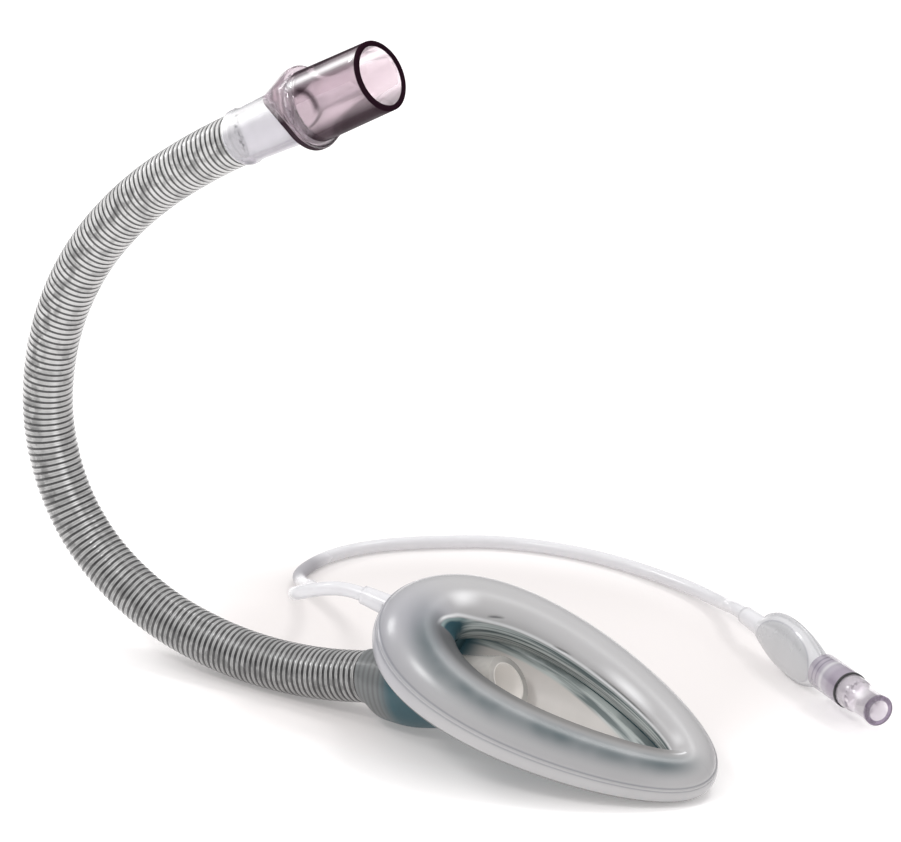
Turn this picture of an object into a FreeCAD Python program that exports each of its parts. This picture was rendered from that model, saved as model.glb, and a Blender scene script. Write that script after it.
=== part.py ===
import FreeCAD, Part
import math
import os
from FreeCAD import Matrix, Vector

# A wire-reinforced laryngeal mask airway: a 15 mm connector, a flexible tube with a
# wire wound in its wall, a mask with an inflated cuff, and a thin line to a pilot
# balloon with a spring valve. It lies on a surface at z = 0 as it rests, with the bent
# tube standing close to the plane y = 0. Millimetres, +Z up.

# Tube
bore_radius = 3.8
liner_wall = 0.9
wire_layer = 0.9            # from the liner to the crests of the wire turns
ridge_height = 0.28
turn_count = 53
coil_gap = 0.2              # between the collar and the first turn
bend_length = 22.3          # each of the bends has this length along the middle
bend_turns = [7.0, 12.1, 17.1, 20.6, 28.0, 31.2, 21.8, 14.0, 11.9]
tube_start = Vector(-26.75, 0.12, 122.85)
start_heading = -152.1      # degrees in the plane y = 0, from +X towards +Z
running_gap = 0.05

# Collar and connector
collar_length = 19.0
collar_radius_at_flange = 6.5
collar_radius_at_coil = 5.85
collar_bead_radius = 6.15
collar_bead_length = 1.6
spigot_end_gap = 1.0
flange_thickness = 1.5
flange_radius = 9.0
lug_reach = 12.7
lug_corner_radius = 1.5
lug_turn = 22.0
barrel_length = 19.9
cone_radius_at_rim = 7.5
cone_taper = 0.0125         # growth of the radius for each millimetre, 1 in 40 on diameter
barrel_bore_radius = 6.4
funnel_depth = 2.2
floor_thickness = 1.2
rim_round = 0.35

# Mask, in its own frame: x to the tip, z out of the bowl, middle of the ring at the origin
neck_angle = 31.0           # between the tube and the plane of the ring
mask_roll = 15.6            # the mask is turned about the tube
mask_yaw = -1.9             # and about its own normal
ring_ahead = 45.6
ring_above = 24.5
ring_half_length = 32.9
ring_half_width = 14.5
ring_egg = 0.275
cuff_reach_side = 6.74      # half the cuff's section, along its longer way
cuff_reach_heel = 9.0
cuff_reach_tip = 5.3
cuff_flatness = 0.76
cuff_droop = 21.0
end_fullness = 4
tail_radius_at_cuff = 2.5
tail_radius_at_line = 2.0
tail_root = 3.0             # how far the tail reaches back into the cuff's wall
tail_root_share = 0.9       # of the heel's reach, where the tail leaves the middle of the wall
tail_drop = 1.1
tail_run = Vector(-6.135, -0.003, -0.784)  # from there to the end of the tail

# Backplate: stations are shares of the ring's half length, depths are down from its plane
plate_top = 1.5
plate_wall = 1.6
hull_reach_share = 0.86
hull_stations = [(-0.82, 24.2), (-0.61, 22.0), (-0.30, 17.2), (0.06, 13.0), (0.43, 9.9), (0.73, 7.4), (0.85, 5.0),
                 (0.94, 3.0)]
dish_stations = [(-0.745, 9.0), (-0.52, 11.6), (-0.24, 11.6), (0.09, 9.4), (0.43, 7.2), (0.67, 5.6), (0.79, 4.0),
                 (0.88, 2.0)]
neck_wall = 0.4
neck_stations = [(5.3, 6.0, 6.0), (6.0, 6.3, 6.2), (7.7, 8.5, 7.0), (10.1, 9.7, 7.6), (13.0, 10.3, 8.1),
                 (16.8, 10.8, 8.4), (24.0, 10.8, 8.4)]
coil_in_neck = 14.0
liner_end = 14.2            # past the last bend, just beyond the wire
spout_bore_radius = 4.0
spout_wall = 1.5
spout_reach = 41.0          # from the last bend to the opening in the bowl
spout_bevel = 22.0
liner_floor = 1.0           # thickness of the pale floor of the bowl
liner_floor_top = 3.6

# Inflation line, as it lies: exit at the tail, then over the tube and on the surface
line_radius = 1.5
line_route = [(6.3, -3.8, 29.3), (3.2, -4.0, 29.8), (-2.4, -4.9, 29.3), (-12.5, -3.8, 25.1), (-22.6, 12.8, 17.5),
              (-33.3, 33.5, 9.3), (-44.3, 43.7, 3.9), (-52.7, 52.8, 1.5), (-53.5, 65.3, 1.5), (-49.1, 76.0, 1.5),
              (-40.3, 85.4, 1.5), (-23.3, 97.6, 1.5), (0.3, 101.4, 1.5), (25.2, 96.8, 1.8), (40.1, 89.3, 3.0),
              (48.4, 80.2, 7.0), (52.3, 77.9, 7.0)]

# Pilot balloon and valve, placed along one axis from the end of the line
pilot_heading = -30.8
sleeve_length = 9.5
sleeve_radius_at_line = 2.0
sleeve_radius_at_balloon = 2.3
sleeve_bore = 1.0
balloon_start = 7.5
balloon_length = 27.5
balloon_width = 14.0
balloon_thickness = 6.6
balloon_tilt = 90.0         # it stands on its rim, as in the photo
balloon_neck = 4.6          # thickness where the balloon closes on the sleeve and the stub
balloon_stations = [(0.03, 0.3), (0.12, 0.62), (0.28, 0.9), (0.5, 1.0), (0.72, 0.9), (0.88, 0.62), (0.97, 0.36)]
weld_to_weld = 12.8
weld_thickness = 0.7
body_start = 32.5
stub_length = 1.5
stub_radius = 2.3
body_radius = 4.0
body_length = 11.2
body_wall = 0.9
body_floor = 1.2
gasket_thickness = 0.6
cap_radius = 3.75
cap_length = 4.6
cap_spigot = 2.2
cap_wall = 0.7
luer_radius = 3.2
luer_length = 7.0
luer_bore = 2.15
luer_bore_length = 3.6
luer_root_bore = 1.95
luer_depth = 6.2
stem_hole = 1.5
stem_radius = 0.8
stem_length = 10.6
plunger_head_radius = 2.7
plunger_head_length = 1.4
plunger_travel = 1.5
seal_thickness = 0.7
seal_radius = 2.4
seat_gap = 0.02
spring_wire = 0.45
spring_radius = 2.0
spring_turns = 5


def direction(degrees):
    angle = math.radians(degrees)
    return Vector(math.cos(angle), 0, math.sin(angle))


def frame(origin, x_axis, y_axis, z_axis):
    """Matrix that carries a piece from its own frame to its place."""
    return Matrix(x_axis.x, y_axis.x, z_axis.x, origin.x,
                  x_axis.y, y_axis.y, z_axis.y, origin.y,
                  x_axis.z, y_axis.z, z_axis.z, origin.z,
                  0, 0, 0, 1)


def placed(shape, matrix):
    moved = shape.copy()
    moved.transformShape(matrix)
    return moved


def turned(profile):
    """Solid of revolution about X from (x, radius) points of a closed outline."""
    corners = [Vector(x, 0, radius) for x, radius in profile]
    face = Part.Face(Part.makePolygon(corners + corners[:1]))
    return face.revolve(Vector(0, 0, 0), Vector(1, 0, 0), 360)


def rod(radius, start, end):
    return Part.makeCylinder(radius, end - start, Vector(start, 0, 0), Vector(1, 0, 0))


# Middle line of the tube: tangent arcs in the plane y = 0

class Bend:
    def __init__(self, start, heading, length, turn):
        self.start = start
        self.heading = heading
        self.length = length
        self.turn = turn
        self.radius = length / math.radians(turn)
        self.centre = start + direction(heading + 90) * self.radius

    def point(self, distance):
        heading = self.heading + self.turn * distance / self.length
        return self.centre - direction(heading + 90) * self.radius

    def tangent(self, distance):
        return direction(self.heading + self.turn * distance / self.length)

    def edge(self):
        return Part.Arc(self.point(0), self.point(self.length / 2), self.point(self.length)).toShape()


def tube_bends():
    bends = []
    point = tube_start
    heading = start_heading
    for turn in bend_turns:
        bend = Bend(point, heading, bend_length, turn)
        bends.append(bend)
        point = bend.point(bend_length)
        heading += turn
    return bends


bends = tube_bends()
bent_length = bend_length * len(bends)
tube_end = bends[-1].point(bend_length)
tube_end_axis = bends[-1].tangent(bend_length)
connector_axis = direction(start_heading) * -1
coil_radius = bore_radius + liner_wall + wire_layer
liner_radius = bore_radius + liner_wall
spout_radius = spout_bore_radius + spout_wall


def station(distance):
    """Point and direction of the tube's middle line, straight past the last bend."""
    if distance >= bent_length:
        return tube_end + tube_end_axis * (distance - bent_length), tube_end_axis
    index = int(distance // bend_length)
    local = distance - index * bend_length
    return bends[index].point(local), bends[index].tangent(local)


def bent_rod(radius, before, after):
    """Solid that follows the tube, with straight ends before and after the bends."""
    edges = [bend.edge() for bend in bends]
    first = tube_start + connector_axis * before
    if before > 0:
        edges.insert(0, Part.LineSegment(first, tube_start).toShape())
    if after > 0:
        edges.append(Part.LineSegment(tube_end, tube_end + tube_end_axis * after).toShape())
    path = Part.Wire(edges)
    ring = Part.Wire(Part.makeCircle(radius, first, connector_axis))
    return path.makePipeShell([ring], True, False)


def wire_coil():
    half_turns = 2 * turn_count
    run = bent_length + coil_in_neck - coil_gap
    rings = []
    for index in range(half_turns + 1):
        point, axis = station(coil_gap + run * index / half_turns)
        radius = coil_radius if index % 2 else coil_radius - ridge_height
        rings.append(Part.Wire(Part.makeCircle(radius, point, axis)))
    ridged = Part.makeLoft(rings, True, True)
    return ridged.cut(bent_rod(liner_radius, coil_gap, coil_in_neck + coil_gap))


def airway_tube():
    """Soft liner inside the wire layer, from the connector's spigot to the mask."""
    liner = bent_rod(liner_radius - running_gap, spigot_end_gap - running_gap, liner_end)
    return liner.cut(bent_rod(bore_radius, spigot_end_gap * 2, liner_end + 1))


def mask_spout():
    """Stiff outlet that carries the tube's bore into the bowl, cut off at a slant."""
    spout = rod(spout_radius, liner_end + running_gap, spout_reach + spout_radius)
    spout = spout.cut(rod(spout_bore_radius, 0, spout_reach + 2 * spout_radius))
    size = 4 * spout_radius
    block = Part.makeBox(size, size, size, Vector(0, -size / 2, -size / 2))
    block.rotate(Vector(0, 0, 0), Vector(0, 1, 0), -spout_bevel)
    block.translate(Vector(spout_reach, 0, 0))
    side = Vector(0, 1, 0)
    return placed(spout.cut(block), frame(tube_end, tube_end_axis, side, tube_end_axis.cross(side)))


# Collar and connector: own frame with x along the connector's axis from the tube's start

flange_start = collar_length
flange_end = flange_start + flange_thickness
rim_end = flange_end + barrel_length
spigot_radius = liner_radius


def connector_frame():
    return frame(tube_start, connector_axis, Vector(0, 1, 0), connector_axis.cross(Vector(0, 1, 0)))


def tube_collar():
    body = turned([(0, liner_radius), (0, collar_radius_at_coil), (0.5, collar_bead_radius),
                   (collar_bead_length, collar_bead_radius), (collar_bead_length + 0.6, collar_radius_at_coil),
                   (flange_start, collar_radius_at_flange), (flange_start, liner_radius)])
    return placed(body, connector_frame())


def flange_plate():
    """Round flange with two pointed lugs, its sides tangent to the round part."""
    lug_centre = lug_reach - lug_corner_radius
    lean = math.asin((flange_radius - lug_corner_radius) / lug_centre)

    def spot(radius, angle, middle):
        return Vector(0, middle + radius * math.cos(angle), radius * math.sin(angle))

    side = math.pi / 2 - lean
    edges = []
    for sign in (1, -1):
        near = spot(flange_radius, side * sign, 0)
        crown = spot(lug_corner_radius, 0, lug_centre)
        if sign == 1:
            upper = spot(lug_corner_radius, side, lug_centre)
            lower = spot(lug_corner_radius, -side, lug_centre)
            edges.append(Part.Arc(lower, crown, upper).toShape())
            edges.append(Part.LineSegment(upper, near).toShape())
            edges.append(Part.Arc(near, Vector(0, 0, flange_radius), spot(-flange_radius, -side, 0)).toShape())
        else:
            upper = spot(-lug_corner_radius, -side, -lug_centre)
            lower = spot(-lug_corner_radius, side, -lug_centre)
            far = spot(-flange_radius, side, 0)
            edges.append(Part.LineSegment(spot(-flange_radius, -side, 0), upper).toShape())
            edges.append(Part.Arc(upper, spot(-lug_corner_radius, 0, -lug_centre), lower).toShape())
            edges.append(Part.LineSegment(lower, far).toShape())
            edges.append(Part.Arc(far, Vector(0, 0, -flange_radius), near).toShape())
            edges.append(Part.LineSegment(near, spot(lug_corner_radius, -side, lug_centre)).toShape())
    outline = Part.Wire(Part.__sortEdges__(edges))
    plate = Part.Face(outline).extrude(Vector(flange_thickness, 0, 0))
    plate.translate(Vector(flange_start, 0, 0))
    plate.rotate(Vector(0, 0, 0), Vector(1, 0, 0), -lug_turn)
    return plate.makeFillet(flange_thickness / 4, [edge for edge in plate.Edges if is_level(edge, flange_end)])


def is_level(edge, x):
    box = edge.BoundBox
    return abs(box.XMin - x) < 0.01 and abs(box.XMax - x) < 0.01


def airway_connector():
    cone_base = cone_radius_at_rim + cone_taper * barrel_length
    bore_floor = flange_start + floor_thickness
    body = turned([(spigot_end_gap, 0), (spigot_end_gap, spigot_radius - 0.3), (spigot_end_gap + 0.6, spigot_radius),
                   (flange_start, spigot_radius), (flange_start, cone_base), (flange_end, cone_base),
                   (rim_end - rim_round, cone_radius_at_rim), (rim_end, cone_radius_at_rim - rim_round),
                   (rim_end, 0)])
    hollow = turned([(spigot_end_gap - 1, 0), (spigot_end_gap - 1, bore_radius), (bore_floor, bore_radius),
                     (bore_floor + funnel_depth, barrel_bore_radius), (rim_end + 1, barrel_bore_radius),
                     (rim_end + 1, 0)])
    return placed(body.fuse(flange_plate()).cut(hollow), connector_frame())


# Mask

def rolled_normal():
    """Upper side of the tube's end, turned about the tube as the mask is."""
    side = Vector(0, 1, 0)
    roll = math.radians(mask_roll)
    return tube_end_axis.cross(side) * math.cos(roll) - side * math.sin(roll)


def mask_frame():
    normal = rolled_normal()
    pitch = math.radians(neck_angle)
    ahead = tube_end_axis * math.cos(pitch) - normal * math.sin(pitch)
    up = tube_end_axis * math.sin(pitch) + normal * math.cos(pitch)
    origin = tube_end + ahead * ring_ahead + up * ring_above
    yaw = math.radians(mask_yaw)
    forward = ahead * math.cos(yaw) + up.cross(ahead) * math.sin(yaw)
    return frame(origin, forward, up.cross(forward), up)


def neck_frame():
    """The tube's end as the mask's own frame sees it: x along the tube, z on its upper side."""
    normal = rolled_normal()
    end = frame(tube_end, tube_end_axis, normal.cross(tube_end_axis), normal)
    return mask_frame().inverse().multiply(end)


def ring_line(angle):
    """Point, outward direction and section reach of the cuff at an angle from the tip."""
    point = Vector(ring_half_length * math.cos(angle),
                   ring_half_width * math.sin(angle) * (1 - ring_egg * math.cos(angle)), 0)
    along = Vector(-ring_half_length * math.sin(angle),
                   ring_half_width * (math.cos(angle) - ring_egg * math.cos(2 * angle)), 0)
    along.normalize()
    heel = ((1 - math.cos(angle)) / 2) ** end_fullness
    tip = ((1 + math.cos(angle)) / 2) ** end_fullness
    reach = cuff_reach_side + (cuff_reach_heel - cuff_reach_side) * heel + (cuff_reach_tip - cuff_reach_side) * tip
    return point, Vector(along.y, -along.x, 0), reach


def cuff_point(angle, around):
    """Point of the cuff's skin; its oval section droops outwards."""
    point, outward, reach = ring_line(angle)
    droop = math.radians(cuff_droop)
    long_way = outward * math.cos(droop) - Vector(0, 0, 1) * math.sin(droop)
    short_way = outward * math.sin(droop) + Vector(0, 0, 1) * math.cos(droop)
    return point + long_way * (reach * math.cos(around)) + short_way * (reach * cuff_flatness * math.sin(around))


def closed_skin(points):
    """Smooth closed surface through a grid of points that closes on itself both ways."""
    rows = len(points)
    columns = len(points[0])
    poles = [list(row) for row in points]
    for _ in range(8):
        fitted = [[None] * columns for _ in range(rows)]
        for i in range(rows):
            for j in range(columns):
                total = Vector(0, 0, 0)
                for di, weight_i in ((-1, 1), (0, 4), (1, 1)):
                    for dj, weight_j in ((-1, 1), (0, 4), (1, 1)):
                        total += poles[(i + di) % rows][(j + dj) % columns] * (weight_i * weight_j / 36)
                fitted[i][j] = poles[i][j] + points[i][j] - total
        poles = fitted
    surface = Part.BSplineSurface()
    surface.buildFromPolesMultsKnots(poles, [1] * (rows + 1), [1] * (columns + 1),
                                     list(range(rows + 1)), list(range(columns + 1)), True, True, 3, 3)
    solid = Part.Solid(Part.Shell([surface.toShape()]))
    if solid.Volume < 0:
        solid.reverse()
    return solid


def cuff_solid():
    along = 20
    around = 10
    grid = [[cuff_point(2 * math.pi * i / along, 2 * math.pi * j / around) for j in range(around)]
            for i in range(along)]
    return closed_skin(grid)


def ring_width_at(share):
    return ring_line(math.acos(share))[0].y


def boat_section(x, half_width, top, depth):
    """Wire across the mask: flat on top, half an ellipse below."""
    height = depth - top
    curve = Part.BSplineCurve()
    steps = 12
    points = []
    for index in range(steps + 1):
        angle = math.pi * index / steps
        points.append(Vector(x, -half_width * math.cos(angle), -top - height * math.sin(angle)))
    curve.interpolate(points)
    return Part.Wire([curve.toShape(), Part.LineSegment(points[-1], points[0]).toShape()])


def boat(stations, top, inset):
    wires = []
    for share, depth in stations:
        half_width = ring_width_at(share) * hull_reach_share - inset
        wires.append(boat_section(share * ring_half_length, half_width, top, depth))
    return Part.makeLoft(wires, True, False)


def neck_solid():
    wires = []
    top = coil_radius + neck_wall
    for distance, depth, half_width in neck_stations:
        half_height = (top + depth) / 2
        middle = Vector(distance, 0, (top - depth) / 2)
        tall = middle + Vector(0, 0, half_height)
        wide = middle + Vector(0, half_width, 0)
        if half_height > half_width:
            curve = Part.Ellipse(tall, wide, middle)
        else:
            curve = Part.Ellipse(wide, tall, middle)
        wires.append(Part.Wire(curve.toShape()))
    return placed(Part.makeLoft(wires, True, False), neck_frame())


def mask_backplate(cuff):
    hull = boat(hull_stations, plate_top, 0)
    dish = boat(dish_stations, 0, plate_wall)
    plate = hull.cut(dish).fuse(neck_solid())
    passage = rod(coil_radius + running_gap, -2, liner_end)
    passage = passage.fuse(rod(spout_radius + running_gap, coil_in_neck, spout_reach + 2 * spout_radius))
    plate = plate.cut(placed(passage, neck_frame()))
    return plate.cut(cuff)


def bowl_floor(cuff):
    outer = boat(dish_stations, 0, plate_wall + running_gap)
    inner = boat([(share, depth - liner_floor) for share, depth in dish_stations], -1, plate_wall + liner_floor)
    length = 2 * ring_half_length
    lower = Part.makeBox(2 * length, length, length, Vector(-length, -length / 2, -length - liner_floor_top))
    spout = placed(rod(spout_radius + running_gap, coil_in_neck, spout_reach + 2 * spout_radius), neck_frame())
    return outer.cut(inner).common(lower).cut(spout).cut(cuff)


def cuff_tail(cuff, to_mask):
    """Sleeve that carries the line out of the cuff's heel."""
    start = Vector(-ring_half_length - cuff_reach_heel * tail_root_share, 0, -tail_drop)
    root = to_mask.multVec(start)
    exit_point = to_mask.multVec(start + tail_run)
    axis = exit_point - root
    length = axis.Length
    cone = Part.makeCone(tail_radius_at_cuff, tail_radius_at_line, length + tail_root,
                         root - axis * (tail_root / length), axis)
    line_start = Vector(*line_route[1]) - Vector(*line_route[0])
    line_side = Part.makeCylinder(2 * tail_radius_at_line, length, exit_point, line_start)
    return cone.cut(line_side).cut(placed(cuff, to_mask))


# Inflation line

def line_path():
    """Straight runs joined by tangent arcs, each as large as its two runs allow."""
    points = [Vector(*spot) for spot in line_route]
    edges = []
    radii = []
    last = points[0]
    for before, corner, after in zip(points, points[1:], points[2:]):
        incoming = corner - before
        outgoing = after - corner
        shorter = min(incoming.Length, outgoing.Length)
        turn = incoming.getAngle(outgoing)
        tangent = 0.45 * shorter
        radii.append(tangent / math.tan(turn / 2))
        incoming.normalize()
        outgoing.normalize()
        start = corner - incoming * tangent
        end = corner + outgoing * tangent
        to_centre = outgoing - incoming
        to_centre.normalize()
        centre = corner + to_centre * (radii[-1] / math.cos(turn / 2))
        middle = centre - to_centre * radii[-1]
        edges.append(Part.LineSegment(last, start).toShape())
        edges.append(Part.Arc(start, middle, end).toShape())
        last = end
    edges.append(Part.LineSegment(last, points[-1]).toShape())
    return Part.Wire(edges), radii


def inflation_line():
    path, radii = line_path()
    start = Vector(*line_route[0])
    ring = Part.Wire(Part.makeCircle(line_radius, start, Vector(*line_route[1]) - start))
    tube = path.makePipeShell([ring], True, False)
    print("line length %.1f, radii" % path.Length, [round(radius, 1) for radius in radii])
    print("line volume %.1f, section times length %.1f" % (tube.Volume, math.pi * line_radius ** 2 * path.Length))
    return tube


# Pilot balloon and valve: own frame with x from the end of the line to the luer mouth

stub_end = body_start + stub_length
body_end = stub_end + body_length
cap_start = body_end + gasket_thickness
cap_end = cap_start + cap_length
luer_end = cap_end + luer_length
chamber_radius = body_radius - body_wall
chamber_start = stub_end + body_floor
spigot_start = cap_start - cap_spigot
seal_end = spigot_start - seat_gap
seal_start = seal_end - seal_thickness
head_start = seal_start - plunger_head_length


def pilot_frame():
    angle = math.radians(pilot_heading)
    axis = Vector(math.cos(angle), math.sin(angle), 0)
    up = Vector(0, 0, 1)
    return frame(Vector(*line_route[-1]), axis, up.cross(axis), up)


def line_sleeve():
    body = turned([(0, 0), (0, sleeve_radius_at_line), (sleeve_length, sleeve_radius_at_balloon),
                   (sleeve_length, 0)])
    return placed(body.cut(rod(sleeve_bore, 1, sleeve_length + 1)), pilot_frame())


def oval(x, width, thickness):
    """Upright oval outline across the pilot's axis, as one smooth curve."""
    curve = Part.Ellipse(Vector(x, width / 2, 0), Vector(x, 0, thickness / 2), Vector(x, 0, 0))
    return Part.Wire(curve.toShape())


def pilot_balloon():
    """Flat pillow with a thin welded rim, open round the sleeve and the valve."""
    ovals = []
    for share, fullness in balloon_stations:
        width = weld_to_weld * fullness
        thickness = balloon_neck + (balloon_thickness - balloon_neck) * fullness
        ovals.append(oval(balloon_start + balloon_length * share, max(width, thickness), thickness))
    pillow = Part.makeLoft(ovals, True, False)
    middle = Vector(balloon_start + balloon_length / 2, 0, -weld_thickness / 2)
    rim = Part.Ellipse(middle + Vector(balloon_length / 2, 0, 0), middle + Vector(0, balloon_width / 2, 0), middle)
    weld = Part.Face(Part.Wire(rim.toShape())).extrude(Vector(0, 0, weld_thickness))
    bag = pillow.fuse(weld)
    bag.rotate(Vector(0, 0, 0), Vector(1, 0, 0), balloon_tilt)
    bag = bag.cut(rod(sleeve_radius_at_balloon + running_gap, 0, sleeve_length))
    bag = bag.cut(rod(stub_radius + running_gap, body_start, stub_end))
    bag = bag.cut(rod(body_radius + running_gap, stub_end, body_end))
    bag = max(bag.Solids, key=lambda piece: piece.Volume)
    return placed(bag, pilot_frame())


def valve_body():
    body = turned([(body_start, 0), (body_start, stub_radius), (stub_end, stub_radius), (stub_end, body_radius - 0.3),
                   (stub_end + 0.5, body_radius), (body_end, body_radius), (body_end, 0)])
    body = body.cut(rod(chamber_radius, chamber_start, body_end + 1))
    return placed(body.cut(rod(sleeve_bore, body_start - 1, chamber_start + 1)), pilot_frame())


def valve_gasket():
    return placed(turned([(body_end, chamber_radius), (body_end, body_radius), (cap_start, body_radius),
                          (cap_start, chamber_radius)]), pilot_frame())


def valve_cap():
    """Clear cap with the luer socket; its spigot is the seat of the plunger's seal."""
    spigot_radius_in_body = chamber_radius - running_gap
    body = turned([(spigot_start, 0), (spigot_start, spigot_radius_in_body), (cap_start, spigot_radius_in_body),
                   (cap_start, cap_radius), (cap_end - 1.2, cap_radius - 0.1), (cap_end, luer_radius),
                   (luer_end - 1.0, luer_radius), (luer_end - 1.0, luer_radius + 0.15),
                   (luer_end, luer_radius + 0.15), (luer_end, 0)])
    hollow = turned([(spigot_start - 1, 0), (spigot_start - 1, stem_hole), (spigot_start + 1.2, stem_hole),
                     (cap_start + 0.8, cap_radius - 2 * cap_wall), (cap_end - 1.6, cap_radius - 2 * cap_wall),
                     (luer_end - luer_depth, luer_root_bore), (luer_end - luer_bore_length, luer_root_bore),
                     (luer_end - luer_bore_length, luer_bore), (luer_end + 1, luer_bore), (luer_end + 1, 0)])
    return placed(body.cut(hollow), pilot_frame())


def valve_plunger():
    stem_end = seal_start + stem_length
    body = turned([(head_start, 0), (head_start, plunger_head_radius), (seal_start, plunger_head_radius),
                   (seal_start, stem_radius), (stem_end - 0.2, stem_radius), (stem_end, stem_radius - 0.2),
                   (stem_end, 0)])
    return placed(body, pilot_frame())


def plunger_seal():
    return placed(turned([(seal_start, stem_radius), (seal_start, seal_radius), (seal_end, seal_radius),
                          (seal_end, stem_radius)]), pilot_frame())


def valve_spring():
    """Return spring behind the plunger's head, at the length it has when pressed."""
    wire_radius = spring_wire / 2
    pressed = head_start - chamber_start - spring_wire - plunger_travel - running_gap
    helix = Part.makeHelix(pressed / spring_turns, pressed, spring_radius)
    ring = Part.Wire(Part.makeCircle(wire_radius, Vector(spring_radius, 0, 0), Vector(0, 1, 0)))
    coil = Part.Wire(helix.Edges).makePipeShell([ring], True, True)
    coil.rotate(Vector(0, 0, 0), Vector(0, 1, 0), 90)
    coil.translate(Vector(head_start - wire_radius - pressed, 0, 0))
    return placed(coil, pilot_frame())


def write_parts():
    os.makedirs("parts", exist_ok=True)
    to_mask = mask_frame()
    cuff = cuff_solid()
    pieces = {
        "airway_connector": airway_connector(),
        "tube_collar": tube_collar(),
        "airway_tube": airway_tube(),
        "mask_spout": mask_spout(),
        "wire_coil": wire_coil(),
        "mask_backplate": placed(mask_backplate(cuff), to_mask),
        "bowl_floor": placed(bowl_floor(cuff), to_mask),
        "inflatable_cuff": placed(cuff, to_mask),
        "cuff_tail": cuff_tail(cuff, to_mask),
        "inflation_line": inflation_line(),
        "line_sleeve": line_sleeve(),
        "pilot_balloon": pilot_balloon(),
        "valve_body": valve_body(),
        "valve_gasket": valve_gasket(),
        "valve_cap": valve_cap(),
        "valve_plunger": valve_plunger(),
        "plunger_seal": plunger_seal(),
        "valve_spring": valve_spring(),
    }
    for name, shape in pieces.items():
        solid = shape.Solids[0] if len(shape.Solids) == 1 else shape
        box = solid.BoundBox
        print("%-18s solids %d valid %s volume %.1f  x %.2f %.2f  y %.2f %.2f  z %.2f %.2f" % (
            name, len(shape.Solids), solid.isValid(), solid.Volume,
            box.XMin, box.XMax, box.YMin, box.YMax, box.ZMin, box.ZMax))
        solid.exportStep("parts/%s.step" % name)


write_parts()
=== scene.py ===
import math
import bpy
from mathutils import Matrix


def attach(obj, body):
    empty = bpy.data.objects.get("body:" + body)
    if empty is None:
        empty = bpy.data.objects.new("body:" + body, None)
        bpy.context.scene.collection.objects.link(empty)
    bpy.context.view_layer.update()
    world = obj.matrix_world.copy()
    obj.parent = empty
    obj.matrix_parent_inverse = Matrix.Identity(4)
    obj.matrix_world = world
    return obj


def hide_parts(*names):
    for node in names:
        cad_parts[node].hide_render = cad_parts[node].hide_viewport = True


bl_info = {
    "name": "Laryngeal mask airway",
    "version": (1, 0, 0),
    "blender": (4, 5, 0),
    "location": "3D View > Sidebar > Airway",
    "description": "Dresses a wire-reinforced laryngeal mask airway for a studio picture",
    "category": "Object",
}

import bmesh
import bpy
from mathutils import Matrix, Vector

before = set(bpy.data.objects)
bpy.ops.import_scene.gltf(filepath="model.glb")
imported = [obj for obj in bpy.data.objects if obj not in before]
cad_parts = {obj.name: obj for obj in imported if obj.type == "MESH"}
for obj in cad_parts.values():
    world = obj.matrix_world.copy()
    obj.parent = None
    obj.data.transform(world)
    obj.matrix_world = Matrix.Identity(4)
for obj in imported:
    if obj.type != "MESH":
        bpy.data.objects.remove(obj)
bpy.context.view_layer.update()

MM = 0.001
AIRWAY = "airway"
PLUNGER = "plunger"


# Driving dimensions, in metres and degrees, as in the part's source

TUBE_START = Vector((-26.75, 0.12, 122.85)) * MM
START_HEADING = -152.1
BEND_LENGTH = 22.3 * MM
BEND_TURNS = [7.0, 12.1, 17.1, 20.6, 28.0, 31.2, 21.8, 14.0, 11.9]
NECK_ANGLE = 31.0
MASK_ROLL = 15.6
MASK_YAW = -1.9
RING_AHEAD = 45.6 * MM
RING_ABOVE = 24.5 * MM
COIL_IN_NECK = 14.0 * MM
LINE_ROUTE = [Vector(point) * MM for point in (
    (6.3, -3.8, 29.3), (3.2, -4.0, 29.8), (-2.4, -4.9, 29.3), (-12.5, -3.8, 25.1),
    (-22.6, 12.8, 17.5), (-33.3, 33.5, 9.3), (-44.3, 43.7, 3.9), (-52.7, 52.8, 1.5),
    (-53.5, 65.3, 1.5), (-49.1, 76.0, 1.5), (-40.3, 85.4, 1.5), (-23.3, 97.6, 1.5),
    (0.3, 101.4, 1.5), (25.2, 96.8, 1.8), (40.1, 89.3, 3.0), (48.4, 80.2, 7.0), (52.3, 77.9, 7.0),
)]
LINE_DIAMETER = 0.003
PILOT_HEADING = -30.8
BALLOON_AHEAD = 21.25 * MM
BALLOON_HALF_LENGTH = 13.75 * MM
BALLOON_HALF_HEIGHT = 7.0 * MM


def heading(degrees):
    """Direction in the tube's upright plane."""
    angle = math.radians(degrees)
    return Vector((math.cos(angle), 0, math.sin(angle)))


def tube_points(step):
    """Points along the tube's arcs, and the direction it leaves them in."""
    points = [TUBE_START.copy()]
    angle = START_HEADING
    count = round(BEND_LENGTH / step)
    for turn in BEND_TURNS:
        radius = BEND_LENGTH / math.radians(turn)
        centre = points[-1] + heading(angle + 90) * radius
        for index in range(1, count + 1):
            points.append(centre - heading(angle + 90 + turn * index / count) * radius)
        angle += turn
    return points, heading(angle)


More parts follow.
